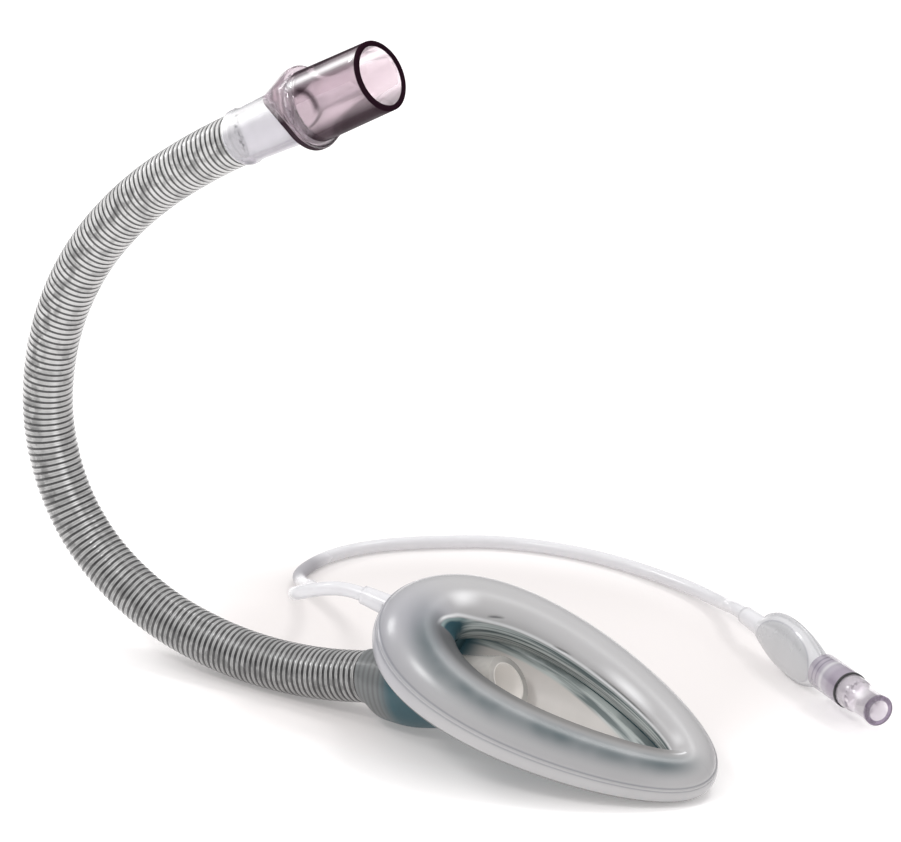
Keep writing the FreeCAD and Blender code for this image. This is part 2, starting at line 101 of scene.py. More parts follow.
TUBE_LINE, NECK_AXIS = tube_points(0.7 * MM)
TUBE_END = TUBE_LINE[-1]
CONNECTOR_AXIS = -heading(START_HEADING)
CONNECTOR_UPPER = Vector((-0.467, 0.072, 0.882))
SIDE = Vector((0, 1, 0))
UP = Vector((0, 0, 1))
LINE_END = LINE_ROUTE[-1]
LINE_BEND = LINE_ROUTE[7]
PILOT_AXIS = Vector((math.cos(math.radians(PILOT_HEADING)), math.sin(math.radians(PILOT_HEADING)), 0))
BALLOON_MIDDLE = LINE_END + PILOT_AXIS * BALLOON_AHEAD
ROLL = math.radians(MASK_ROLL)
NECK_NORMAL = NECK_AXIS.cross(SIDE) * math.cos(ROLL) - SIDE * math.sin(ROLL)


def mask_matrix():
    """Mask frame: x to the tip, z out of the bowl."""
    pitch = math.radians(NECK_ANGLE)
    ahead = NECK_AXIS * math.cos(pitch) - NECK_NORMAL * math.sin(pitch)
    up = NECK_AXIS * math.sin(pitch) + NECK_NORMAL * math.cos(pitch)
    yaw = math.radians(MASK_YAW)
    forward = ahead * math.cos(yaw) + up.cross(ahead) * math.sin(yaw)
    place = Matrix((forward, up.cross(forward), up)).transposed().to_4x4()
    place.translation = TUBE_END + ahead * RING_AHEAD + up * RING_ABOVE
    return place


TO_MASK = mask_matrix()


# Sizes and colours that a user would change

class AirwayTube(bpy.types.PropertyGroup):
    turns: bpy.props.IntProperty(
        name="Wire turns", description="Turns of wire that show along the tube", default=153, min=20, max=220)
    crest_radius: bpy.props.FloatProperty(
        name="Tube radius", description="Outside radius over the wire", default=5.6 * MM, unit="LENGTH",
        precision=5)
    groove_depth: bpy.props.FloatProperty(
        name="Groove depth", description="Depth of the wall between two turns", default=0.16 * MM,
        unit="LENGTH", precision=5)
    band: bpy.props.FloatVectorProperty(
        name="Wall", description="Colour of the wall between the wire turns", default=(0.70, 0.70, 0.695),
        subtype="COLOR", size=3)
    wire: bpy.props.FloatVectorProperty(
        name="Wire", description="Colour of the wire seen through the wall", default=(0.016, 0.016, 0.017),
        subtype="COLOR", size=3)


class AirwayMask(bpy.types.PropertyGroup):
    skin: bpy.props.FloatVectorProperty(
        name="Cuff", description="Colour of the frosted cuff", default=(0.49, 0.485, 0.49),
        subtype="COLOR", size=3)
    shell: bpy.props.FloatVectorProperty(
        name="Backplate", description="Colour of the stiff backplate", default=(0.030, 0.085, 0.105),
        subtype="COLOR", size=3)
    bowl: bpy.props.FloatVectorProperty(
        name="Bowl floor", description="Colour of the bowl's pale floor", default=(0.65, 0.62, 0.595),
        subtype="COLOR", size=3)
    seam_height: bpy.props.FloatProperty(
        name="Seam height", description="How far the moulding seam stands out", default=0.16 * MM,
        unit="LENGTH", precision=5)


class AirwayFittings(bpy.types.PropertyGroup):
    mauve: bpy.props.FloatVectorProperty(
        name="Connector", description="Tint of the clear connector", default=(0.40, 0.29, 0.34),
        subtype="COLOR", size=3)
    plum: bpy.props.FloatVectorProperty(
        name="Connector rim", description="Colour where the wall is seen edge on",
        default=(0.020, 0.008, 0.014), subtype="COLOR", size=3)
    lavender: bpy.props.FloatVectorProperty(
        name="Valve", description="Tint of the pilot valve", default=(0.60, 0.55, 0.64),
        subtype="COLOR", size=3)


class AirwayStage(bpy.types.PropertyGroup):
    distance: bpy.props.FloatProperty(
        name="Camera distance", description="From the camera to its target", default=0.85, unit="LENGTH")
    turn: bpy.props.FloatProperty(
        name="Camera turn", description="Angle round the object from its front", default=math.radians(34),
        subtype="ANGLE")
    height: bpy.props.FloatProperty(
        name="Camera height", description="Angle above the horizon", default=math.radians(20),
        subtype="ANGLE")
    lens: bpy.props.FloatProperty(
        name="Lens", description="Focal length on a 36 mm sensor", default=165.4)
    target: bpy.props.FloatVectorProperty(
        name="Target", description="Point that the camera looks at", default=(0.02572, 0.00012, 0.07097),
        subtype="TRANSLATION", size=3)


# Node trees, with maths written as Python expressions

class Value:
    """A socket in a node tree that takes part in Python expressions."""

    def __init__(self, maker, socket):
        self.maker = maker
        self.socket = socket

    def maths(self, operation, *values):
        """A Math node of an operation, fed with sockets or numbers."""
        return self.maker.node("ShaderNodeMath", {"operation": operation}, dict(enumerate(values)))

    def __add__(self, other):
        return self.maths("ADD", self, other)

    __radd__ = __add__

    def __sub__(self, other):
        return self.maths("SUBTRACT", self, other)

    def __rsub__(self, other):
        return self.maths("SUBTRACT", other, self)

    def __mul__(self, other):
        return self.maths("MULTIPLY", self, other)

    __rmul__ = __mul__

    def __truediv__(self, other):
        return self.maths("DIVIDE", self, other)

    def __rtruediv__(self, other):
        return self.maths("DIVIDE", other, self)

    def __abs__(self):
        return self.maths("ABSOLUTE", self)

    def root(self):
        return self.maths("SQRT", self)

    def fraction(self):
        return self.maths("FRACT", self)

    def cosine(self):
        return self.maths("COSINE", self)

    def larger(self, other):
        return self.maths("MAXIMUM", self, other)

    def between(self, low, high):
        """0 below low, 1 above high, and smooth between them."""
        sockets = {"Value": self, "From Min": low, "From Max": high, "To Min": 0.0, "To Max": 1.0}
        return self.maker.node("ShaderNodeMapRange", {"interpolation_type": "SMOOTHSTEP"}, sockets)

    def bump(self, middle, width):
        """1 at middle, falling smoothly to 0 at width either side."""
        return 1 - abs(self - middle).between(0.0, width)


class Maker:
    """A node tree under construction."""

    def __init__(self, tree):
        self.tree = tree

    def fill(self, socket, value):
        """Link a socket to what feeds it, or set its constant."""
        if isinstance(value, Value):
            self.tree.links.new(value.socket, socket)
        elif socket.type == "RGBA":
            socket.default_value = (*value[:3], 1.0)
        else:
            socket.default_value = value

    def node(self, kind, settings=None, sockets=None, output=0):
        """A new node: its settings first, then the values or links of its sockets."""
        made = self.tree.nodes.new(kind)
        for name, value in (settings or {}).items():
            setattr(made, name, value)
        for key, value in (sockets or {}).items():
            self.fill(made.inputs[key], value)
        if made.outputs:
            return Value(self, made.outputs[output])


class Shading(Maker):
    """A shader tree under construction, with its last shader."""

    def __init__(self, tree, shader):
        super().__init__(tree)
        self.shader = tree.nodes[shader]

    def drive(self, socket, value):
        self.fill(self.shader.inputs[socket], value)

    def place(self):
        return self.node("ShaderNodeTexCoord", output="Object")

    def attribute(self, name):
        return self.node("ShaderNodeAttribute", {"attribute_name": name}, output="Fac")

    def noise(self, scale, detail=2.0, where=None):
        sockets = {"Vector": where or self.place(), "Scale": scale, "Detail": detail}
        return self.node("ShaderNodeTexNoise", None, sockets)

    def streaks(self, lengthwise, crosswise):
        """Noise over two distances that are scaled apart, so that it draws out into streaks."""
        where = self.node("ShaderNodeCombineXYZ", None, {"X": lengthwise, "Y": crosswise})
        return self.noise(1.0, 3.0, where)

    def vector(self, operation, *values, output=0):
        return self.node("ShaderNodeVectorMath", {"operation": operation}, dict(enumerate(values)), output)

    def along(self, origin, axis):
        """Distance of a point from origin, measured along axis."""
        offset = self.vector("SUBTRACT", self.place(), origin)
        return self.vector("DOT_PRODUCT", offset, axis, output="Value")

    def across(self, origin, axis):
        """Distance of a point from the line that runs through origin along axis."""
        offset = self.vector("SUBTRACT", self.place(), origin)
        reach = self.vector("CROSS_PRODUCT", offset, axis)
        return self.vector("LENGTH", reach, output="Value")

    def mix(self, share, first, second):
        """Blend of two colours, by a share from 0 to 1."""
        # A mix node keeps its share in socket 0 and its two colours in 6 and 7, and gives a colour from 2
        return self.node("ShaderNodeMix", {"data_type": "RGBA"}, {0: share, 6: first, 7: second}, 2)

    def layers(self, base, *coats):
        """Colours laid over a base one after another, each by its own share from 0 to 1."""
        for share, colour in coats:
            base = self.mix(share, base, colour)
        return base


class Finish(Shading):
    """A material under construction."""

    def __init__(self, name, constants):
        self.material = bpy.data.materials.new(name)
        self.material.use_nodes = True
        super().__init__(self.material.node_tree, "Principled BSDF")
        for socket, value in constants.items():
            self.drive(socket, value)

    def blend(self, share, constants):
        """Lay a second surface with its own constants over the first, by a share from 0 to 1."""
        first = Value(self, self.shader.outputs["BSDF"])
        second = self.node("ShaderNodeBsdfPrincipled", None, constants)
        both = self.node("ShaderNodeMixShader", None, {0: share, 1: first, 2: second})
        self.fill(self.tree.nodes["Material Output"].inputs["Surface"], both)

    def relief(self, height, strength, distance):
        sockets = {"Strength": strength, "Distance": distance, "Height": height}
        self.drive("Normal", self.node("ShaderNodeBump", None, sockets))

    def done(self, colour, roughness):
        """The material, once its colour and roughness are fed."""
        self.drive("Base Color", colour)
        self.drive("Roughness", roughness)
        return self.material


def shade(colour, factor):
    """A colour made darker or lighter by a factor."""
    return [factor * value for value in colour]


# Finishes

BLACK = (0.0, 0.0, 0.0)
WHITE = (1.0, 1.0, 1.0)
# Teal of the shell, darkened with painted shade where the heel's hollow lies
SHADED_TEAL = (0.012, 0.062, 0.082)


def wire_wall_finish():
    """Clear skin over the wire: dark turns on a pale wall, which grows darker towards the mask."""
    sizes = bpy.context.scene.airway_tube
    finish = Finish("wire_wall", {"Coat Weight": 0.45, "Coat Roughness": 0.16})
    # The phase counts wire turns from the collar to the neck
    phase = finish.attribute("turn_phase")
    turn = phase.fraction()
    share = phase / sizes.turns
    lower = share.between(0.28, 0.62)
    tight = share.between(0.5, 0.8)
    wire = turn.bump(0.5, 0.34 + tight * 0.10).between(0.2, 0.6)
    # Painted shade in the grooves between the turns, laid on towards the mask
    groove = turn.bump(0.98, 0.13).larger(turn.bump(-0.02, 0.13))
    patch = finish.noise(330.0, 4.0).between(0.48, 0.66)
    side = finish.along(TUBE_START, SIDE)
    # Painted reflections down the tube's front: a dark mottled streak 5.55 mm towards -Y, and a bright streak
    # beside it over the middle turns
    painted_dark_reflection = side.bump(-5.55 * MM, 0.8 * MM) * finish.noise(520.0, 3.0).between(0.42, 0.6)
    painted_bright_reflection = side.bump(-3.2 * MM, 1.0 * MM) * phase.bump(76.0, 34.0)
    wall = finish.layers(
        sizes.band,
        (lower * 0.70, shade(sizes.band, 0.45)),
        (patch * 0.5, shade(sizes.band, 0.33)),
        (painted_dark_reflection * 0.7, shade(sizes.band, 0.16)),
        (painted_bright_reflection * 0.8, (0.92, 0.92, 0.92)),
        (groove * lower * 0.5, shade(sizes.band, 0.25)),
        (wire * 0.95, sizes.wire),
    )
    return finish.done(wall, 0.24 + patch * 0.15)


# Soft highlights painted on the cuff: middle and reach along the ring, middle and reach around it, strength
GLINTS = [(0.43, 0.045, 0.372, 0.06, 1.0), (0.178, 0.05, 0.417, 0.05, 1.0), (0.072, 0.03, 0.40, 0.06, 0.5)]


def cuff_finish():
    """Frosted film, through which the teal shell and the bowl show on the inner side of the ring."""
    colours = bpy.context.scene.airway_mask
    finish = Finish("frosted_cuff", {"IOR": 1.42, "Coat Roughness": 0.24})
    # Along the ring, 0 is the tip, 0.25 the far side, 0.5 the heel and 0.75 the near side
    # Around its section, 0 is the outer side, 0.25 the top and 0.5 the inner side
    around = finish.attribute("around")
    along = finish.attribute("along")
    near = finish.attribute("nearness")
    cloud = finish.noise(90.0)
    grain = finish.noise(1500.0)

    # Broad tones of the skin, painted shade along its low outer wall, and the teal band of the shell behind
    # it
    heel_side = along.bump(0.56, 0.14)
    near_outer = around.bump(0.18, 0.13) * near.between(0.45, 0.8) * (1 - along.between(0.86, 0.95) * 0.7)
    low_wall_shade = around.bump(0.96, 0.10)
    back = along.bump(0.53, 0.13)
    teal = (around - back * 0.055).bump(0.275, 0.115) * near.between(0.38, 0.8) * (1 - back * 0.3)
    # The near inner wall is darkened with painted shade, darkest towards the heel
    near_inner = around.between(0.31, 0.39) * near.between(0.5, 0.8)
    near_inner_shade = finish.mix(along.between(0.60, 0.80), (0.07, 0.075, 0.078), (0.21, 0.205, 0.20))
    painted_highlights = [
        along.bump(middle, reach) * around.bump(level, width) * strength
        for middle, reach, level, width, strength in GLINTS
    ]
    skin = finish.layers(
        colours.skin,
        (cloud.between(0.3, 0.7) * 0.15, shade(colours.skin, 0.82)),
        (heel_side * 0.8, (0.36, 0.36, 0.40)),
        (near_outer * 0.5, (0.34, 0.34, 0.35)),
        (low_wall_shade * 0.8, (0.28, 0.275, 0.28)),
        (teal * (1 - cloud.between(0.35, 0.65) * 0.25), (0.065, 0.095, 0.105)),
        (near_inner * 0.95, near_inner_shade),
        (painted_highlights[0].larger(painted_highlights[1]).larger(painted_highlights[2]) * 0.75, (0.92, 0.92, 0.93)),
    )

    # The far inner wall lies beyond an edge that curves up round the heel: streaks, and teal darkened with
    # painted shade in the hollow of the heel
    edge = 0.49 - along.between(0.36, 0.50) * 0.05 - along.between(0.48, 0.60) * 0.07
    past_edge = around - edge
    near_limit = along - (around - 0.385) * 0.27
    inside = past_edge.between(0.0, 0.012) * (1 - around.between(0.80, 0.84))
    inside = inside * (1 - near_limit.between(0.562, 0.570))
    heel = along.between(0.40, 0.47)
    upper = 1 - past_edge.between(0.014, 0.034)
    streaks = finish.streaks(along * 6.0, around * 60.0).between(0.36, 0.62)
    wall = finish.layers(
        (0.11, 0.145, 0.15),
        (streaks, (0.56, 0.61, 0.60)),
        (heel, SHADED_TEAL),
        (upper * heel, (0.24, 0.32, 0.32)),
    )
    # A bright rim along the edge of the far inner wall: a painted highlight
    rim = past_edge.bump(-0.006, 0.016) * (1 - near.between(0.60, 0.72))
    skin = finish.layers(
        skin,
        (inside, wall),
        (rim * 0.9, (0.85, 0.86, 0.87)),
        # The folds are darkened with painted shade
        (finish.attribute("fold") * 0.85, (0.10, 0.11, 0.11)),
        (finish.attribute("seam_line") * 0.6, (0.13, 0.14, 0.17)),
    )
    inner_side = around.between(0.27, 0.36) * (1 - around.between(0.52, 0.56))
    finish.drive("Coat Weight", 0.9 - inner_side * 0.8)
    finish.relief(grain, 0.04, 0.2 * MM)
    return finish.done(skin, 0.34 + grain * 0.10 + near_inner * 0.2)


NECK_RIB_PITCH = 1.42 * MM


def backplate_finish():
    """Dark teal shell, paler and ribbed where its neck grips the tube."""
    shell = bpy.context.scene.airway_mask.shell
    finish = Finish("teal_backplate", {"IOR": 1.45, "Coat Weight": 0.15, "Coat Roughness": 0.2})
    cloud = finish.noise(120.0, 3.0)
    neck = finish.along(TUBE_END, NECK_AXIS)
    under = finish.along(TUBE_END, -NECK_NORMAL)
    pale = (1 - neck.between(11.0 * MM, 16.0 * MM)) * (1 - under.between(4.5 * MM, 8.0 * MM))
    ribs = (neck / NECK_RIB_PITCH).fraction().bump(0.5, 0.4) * pale
    tone = finish.layers(
        shell,
        (cloud.between(0.3, 0.7) * 0.3, shade(shell, 1.5)),
        (pale * 0.9, (0.20, 0.205, 0.205)),
        (ribs * 0.55, (0.085, 0.09, 0.09)),
    )
    return finish.done(tone, 0.3 + cloud * 0.15)


def bowl_finish():
    """Pale floor that glows faintly with its own colour as painted light, streaked where it rises on the far
    side, and teal darkened with painted shade at the heel.
    """
    colours = bpy.context.scene.airway_mask
    finish = Finish("pale_bowl", {"IOR": 1.40, "Coat Weight": 0.08, "Coat Roughness": 0.3,
                                  "Emission Strength": 0.14})
    cloud = finish.noise(140.0, 3.0)
    up = TO_MASK.to_3x3().col[2]
    forward = TO_MASK.to_3x3().col[0]
    level = finish.along(TO_MASK.translation, up)
    ahead = finish.along(TO_MASK.translation, forward)
    side = finish.along(TO_MASK.translation, up.cross(forward))
    streaks = finish.streaks(ahead * 60.0, level * 1100.0).between(0.38, 0.62)
    far_rise = level.between(-5.6 * MM, -5.0 * MM) * side.between(0.0, 3.0 * MM)
    heel = 1 - ahead.between(-24.5 * MM, -19.0 * MM)
    tone = finish.layers(
        colours.bowl,
        (cloud.between(0.35, 0.75) * 0.3, (0.52, 0.505, 0.48)),
        (far_rise * 0.9, finish.mix(streaks, (0.10, 0.14, 0.145), (0.50, 0.55, 0.54))),
        (heel, SHADED_TEAL),
    )
    # Painted glow: the lining gives off its own colour
    finish.drive("Emission Color", tone)
    return finish.done(tone, 0.42 + cloud * 0.1)


def spout_finish():
    """Clear wall with a bore painted pale and glowing as painted light, lighter towards its opening."""
    finish = Finish("clear_spout", {"IOR": 1.45, "Transmission Weight": 0.4, "Coat Weight": 0.5,
                                    "Coat Roughness": 0.1, "Emission Strength": 0.26})
    cloud = finish.noise(200.0)
    bore = 1 - finish.across(TUBE_END, NECK_AXIS).between(4.05 * MM, 4.3 * MM)
    depth = finish.along(TUBE_END, NECK_AXIS)
    outer = finish.mix(cloud.between(0.3, 0.7), (0.66, 0.64, 0.61), (0.50, 0.49, 0.47))
    # The bore is painted pale and made to glow, standing in for light reaching into it
    pale = finish.mix(depth.between(26.0 * MM, 38.0 * MM), (0.50, 0.48, 0.46), (0.76, 0.73, 0.70))
    finish.drive("Emission Color", finish.mix(bore, (0.05, 0.05, 0.05), pale))
    return finish.done(finish.mix(bore, outer, pale), 0.2 + cloud * 0.1)


def connector_finish():
    """Clear mauve plastic, dark plum where the thickness of its wall shows, with painted highlights, glow,
    dark barrel edges and a crescent shadow.
    """
    colours = bpy.context.scene.airway_fittings
    finish = Finish("mauve_connector", {"Transmission Weight": 0.85, "IOR": 1.45, "Coat Weight": 0.5,
                                        "Coat Roughness": 0.03, "Emission Strength": 0.6})
    along = finish.along(TUBE_START, CONNECTOR_AXIS)
    level = finish.along(TUBE_START, CONNECTOR_UPPER)
    reach = finish.across(TUBE_START, CONNECTOR_AXIS)
    cloud = finish.noise(160.0, 3.0)

    # Tints through the wall: a painted highlight streak along the top, a bore painted pale as painted light,
    # and paler flange faces
    bore = 1 - reach.between(6.45 * MM, 6.6 * MM)
    before_barrel = 1 - along.between(20.3 * MM, 21.0 * MM)
    before_flange = 1 - along.between(18.8 * MM, 19.0 * MM)
    body = finish.layers(
        colours.mauve,
        (cloud.between(0.4, 0.7) * 0.3, shade(colours.mauve, 1.25)),
        (level.bump(5.2 * MM, 1.5 * MM), (0.99, 0.98, 0.99)),
        (bore * 0.9, (0.97, 0.86, 0.90)),
        (before_barrel, (0.80, 0.70, 0.76)),
        (before_flange, (0.97, 0.96, 0.98)),
    )
    # Painted glow: the highlight streak on the barrel's top, and a faint glow deep in the bore
    shine = level.bump(5.3 * MM, 1.0 * MM) * along.between(22.0 * MM, 24.0 * MM) * (1 - bore)
    glow = finish.layers(
        BLACK,
        (bore * along.between(26.0 * MM, 32.0 * MM), (0.34, 0.30, 0.315)),
        (shine, (1.0, 0.99, 1.0)),
    )
    finish.drive("Emission Color", glow)

    # Plum: painted shade along the barrel's low and high edges, a painted crescent shadow inside the barrel,
    # and the rim and the flange's edge where the wall's thickness shows
    ahead = (along - 22.5 * MM) / (5.3 * MM)
    above = (level + 0.5 * MM) / (4.0 * MM)
    crescent_shadow = (ahead * ahead + above * above).root().bump(1.0, 0.26)
    crescent_shadow = crescent_shadow * along.between(22.5 * MM, 24.5 * MM) * level.between(-3.0 * MM, -1.0 * MM)
    barrel = along.between(21.0 * MM, 21.3 * MM) * reach.between(6.5 * MM, 6.8 * MM)
    low = 1 - level.between(-6.6 * MM, -3.6 * MM)
    high = level.between(6.5 * MM, 6.9 * MM)
    rim = along.between(39.7 * MM, 39.9 * MM)
    flange = along.between(18.6 * MM, 18.7 * MM) * (1 - along.between(20.2 * MM, 20.4 * MM))
    flange_edge = flange * reach.between(7.6 * MM, 8.2 * MM) * (1 - level.between(-2.0 * MM, 2.0 * MM))
    barrel_edges_and_shadow = barrel * (low * 0.86).larger(high * 0.85).larger(crescent_shadow * 0.8)
    dark = barrel_edges_and_shadow.larger(rim).larger(flange_edge * 0.95)
    finish.blend(dark, {"Base Color": colours.plum, "Roughness": 0.4, "Specular IOR Level": 0.0})
    return finish.done(body, 0.03 + cloud * 0.05)


def collar_finish():
    """Clear sleeve with a painted highlight along its upper side that also glows, painted shade along its top
    and bottom edges, and specks where the tube's end sits in it.
    """
    finish = Finish("clear_collar", {"Transmission Weight": 0.85, "IOR": 1.3, "Coat Weight": 0.3,
                                     "Coat Roughness": 0.05, "Emission Strength": 0.3})
    cloud = finish.noise(220.0)
    specks = finish.noise(900.0, 3.0).between(0.5, 0.6)
    tube_end = finish.along(TUBE_START, CONNECTOR_AXIS).bump(4.4 * MM, 0.9 * MM)
    level = finish.along(TUBE_START, CONNECTOR_UPPER)
    # Painted light: a lit band along the upper side, and shade on the top and bottom edges
    lit = level.between(0.5 * MM, 3.5 * MM) * (1 - level.between(4.8 * MM, 5.3 * MM))
    top_edge = level.between(5.2 * MM, 5.8 * MM)
    low_edge = 1 - level.between(-5.6 * MM, -4.6 * MM)
    clear = finish.layers(
        (0.92, 0.91, 0.93),
        (cloud, (0.84, 0.83, 0.86)),
        (lit, WHITE),
        (top_edge, (0.30, 0.30, 0.31)),
        (low_edge, (0.40, 0.38, 0.42)),
        (tube_end * specks * 0.8, (0.10, 0.10, 0.11)),
    )
    finish.drive("Emission Color", finish.mix(lit, (0.22, 0.215, 0.23), (0.80, 0.80, 0.80)))
    return finish.done(clear, 0.06 + cloud * 0.08)


def line_finish():
    """Nearly clear tubing, greyer with painted shade and less glossy at its tight bend, which stands out from
    the paper.
    """
    finish = Finish("clear_line", {"Transmission Weight": 0.12, "IOR": 1.3, "Coat Roughness": 0.15})
    cloud = finish.noise(300.0)
    # Painted shade greys the line round its tight bend
    bend = 1 - finish.across(LINE_BEND, UP).between(5.0 * MM, 13.0 * MM)
    clear = finish.layers(
        (0.91, 0.905, 0.93),
        (cloud, (0.83, 0.825, 0.85)),
        (bend, (0.50, 0.49, 0.52)),
    )
    finish.drive("Coat Weight", 0.4 - bend * 0.35)
    return finish.done(clear, 0.2 + cloud * 0.1 + bend * 0.3)


def balloon_finish():
    """Two clear films, welded along an oval line near the rim."""
    finish = Finish("balloon_film", {"IOR": 1.45, "Transmission Weight": 0.08, "Coat Weight": 0.6,
                                     "Coat Roughness": 0.1})
    cloud = finish.noise(160.0, 3.0)
    length = finish.along(BALLOON_MIDDLE, PILOT_AXIS) / BALLOON_HALF_LENGTH
    height = finish.along(BALLOON_MIDDLE, UP) / BALLOON_HALF_HEIGHT
    reach = (length * length + height * height).root()
    film = finish.layers(
        (0.64, 0.64, 0.66),
        (cloud, (0.56, 0.57, 0.58)),
        (reach.between(0.80, 0.84), (0.74, 0.74, 0.76)),
        (reach.bump(0.82, 0.035) * 0.5, (0.35, 0.35, 0.40)),
    )
    return finish.done(film, 0.22 + cloud * 0.12)


def valve_finish():
    """Lavender barrel with two grooves, a pale band that is a painted highlight and a darker end, by distance
    from the line's end.
    """
    lavender = bpy.context.scene.airway_fittings.lavender
    finish = Finish("lavender_valve", {"IOR": 1.5, "Transmission Weight": 0.3, "Coat Weight": 0.6,
                                       "Coat Roughness": 0.08})
    cloud = finish.noise(260.0)
    along = finish.along(LINE_END, PILOT_AXIS)
    grooves = along.bump(36.2 * MM, 0.5 * MM) + along.bump(37.6 * MM, 0.4 * MM)
    body = finish.layers(
        lavender,
        (cloud, shade(lavender, 0.86)),
        (grooves, (0.34, 0.29, 0.38)),
        # A painted highlight band round the barrel
        (along.bump(39.4 * MM, 1.0 * MM), (0.84, 0.82, 0.86)),
        (along.between(41.2 * MM, 43.0 * MM), (0.46, 0.40, 0.49)),
    )
    return finish.done(body, 0.18 + cloud * 0.1)


def cap_finish():
    """Clear cap with a bright bar on its upper side that glows as painted light, dark specks inside and a
    dark ring at its mouth.
    """
    finish = Finish("clear_cap", {"IOR": 1.4, "Transmission Weight": 0.7, "Coat Weight": 0.5,
                                  "Coat Roughness": 0.05, "Emission Strength": 0.5})
    cloud = finish.noise(260.0)
    along = finish.along(LINE_END, PILOT_AXIS)
    mouth = along.between(56.5 * MM, 56.9 * MM)
    mouth_ring = mouth * finish.across(LINE_END, PILOT_AXIS).between(2.2 * MM, 2.3 * MM)
    # The bright bar along the upper side is a painted glow
    bar = along.bump(53.0 * MM, 2.4 * MM) * finish.along(LINE_END, UP).bump(2.2 * MM, 1.0 * MM)
    specks = along.bump(49.6 * MM, 0.7 * MM) * finish.noise(1400.0).between(0.48, 0.56)
    clear = finish.layers(
        (0.93, 0.89, 0.92),
        (cloud, (0.86, 0.82, 0.87)),
        (specks * 0.8, (0.12, 0.10, 0.13)),
        (mouth_ring, (0.16, 0.11, 0.19)),
    )
    finish.drive("Emission Color", finish.mix(bar, (0.10, 0.09, 0.10), WHITE))
    return finish.done(clear, 0.06 + cloud * 0.06)


def plain_finish(name, colour, roughness, metallic=0.0):
    """One colour, slightly clouded."""
    finish = Finish(name, {"Metallic": metallic, "Coat Weight": 0.2})
    cloud = finish.noise(300.0)
    return finish.done(finish.mix(cloud, colour, shade(colour, 0.8)), roughness + cloud * 0.1)


# Piece helpers

MERGE_DISTANCE = 0.002 * MM
CREASE = 35.0
FILM_CREASE = 30.0


def placed(name, shape, finish=None):
    """A new object for a mesh, curve, lamp or camera, in the scene and with its finish."""
    piece = bpy.data.objects.new(name, shape)
    bpy.context.scene.collection.objects.link(piece)
    if finish:
        shape.materials.append(finish)
    return piece


def smooth_copy(node, name, finish, body, crease=CREASE):
    """A copy of a CAD node with its triangles joined and shaded smooth up to a crease."""
    made = bmesh.new()
    made.from_mesh(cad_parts[node].data)
    bmesh.ops.remove_doubles(made, verts=made.verts, dist=MERGE_DISTANCE)
    shape = bpy.data.meshes.new(name)
    made.to_mesh(shape)
    made.free()
    shape.shade_smooth()
    shape.set_sharp_from_angle(angle=math.radians(crease))
    piece = placed(name, shape, finish)
    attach(piece, body)
    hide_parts(node)
    return piece


# The ribbed tube, by Geometry Nodes

POINTS_PER_TURN = 8
POINTS_AROUND = 48


def turns_tree(finish):
    """Node group: a curve becomes a tube whose radius dips between one wire turn and the next."""
    group = bpy.data.node_groups.new("wire_turns", "GeometryNodeTree")
    inputs = {"Geometry": "NodeSocketGeometry", "Turns": "NodeSocketInt", "Points per turn": "NodeSocketInt",
              "Crest radius": "NodeSocketFloat", "Groove depth": "NodeSocketFloat"}
    for name, kind in inputs.items():
        group.interface.new_socket(name, in_out="INPUT", socket_type=kind)
    group.interface.new_socket("Geometry", in_out="OUTPUT", socket_type="NodeSocketGeometry")
    tree = Maker(group)
    given = {name: tree.node("NodeGroupInput", output=name) for name in inputs}

    count = given["Turns"] * given["Points per turn"]
    path = tree.node("GeometryNodeResampleCurve", None, {"Curve": given["Geometry"], "Count": count})
    phase = tree.node("GeometryNodeSplineParameter", output="Factor") * given["Turns"]
    path = tree.node("GeometryNodeStoreNamedAttribute", None,
                     {"Geometry": path, "Name": "turn_phase", "Value": phase})
    rise = ((phase * (2 * math.pi)).cosine() + 1) / 2
    radius = given["Crest radius"] - rise * given["Groove depth"]
    ring = tree.node("GeometryNodeCurvePrimitiveCircle", None, {"Resolution": POINTS_AROUND, "Radius": 1.0})
    skin = tree.node("GeometryNodeCurveToMesh", None,
                     {"Curve": path, "Profile Curve": ring, "Scale": radius, "Fill Caps": True})
    real = tree.node("GeometryNodeRealizeInstances", None, {"Geometry": skin})
    painted = tree.node("GeometryNodeSetMaterial", None, {"Geometry": real, "Material": finish})
    tree.node("NodeGroupOutput", None, {"Geometry": painted})
    return group


def grown(name, group, carrier, values):
    """Plain mesh of what a Geometry Nodes group makes from a carrier, which is used up."""
    modifier = carrier.modifiers.new("Grow", "NODES")
    modifier.node_group = group
    for item in group.interface.items_tree:
        if item.in_out == "INPUT" and item.name in values:
            modifier[item.identifier] = values[item.name]
    bpy.context.view_layer.update()
    seen = carrier.evaluated_get(bpy.context.evaluated_depsgraph_get())
    shape = bpy.data.meshes.new_from_object(seen)
    shape.name = name
    bpy.data.objects.remove(carrier)
    return shape


def curve_through(name, kind, points):
    """Curve data with one spline of a kind, either POLY or NURBS."""
    curve = bpy.data.curves.new(name, "CURVE")
    curve.dimensions = "3D"
    spline = curve.splines.new(kind)
    spline.points.add(len(points) - 1)
    for spot, point in zip(spline.points, points):
        spot.co = (*point, 1.0)
    return curve


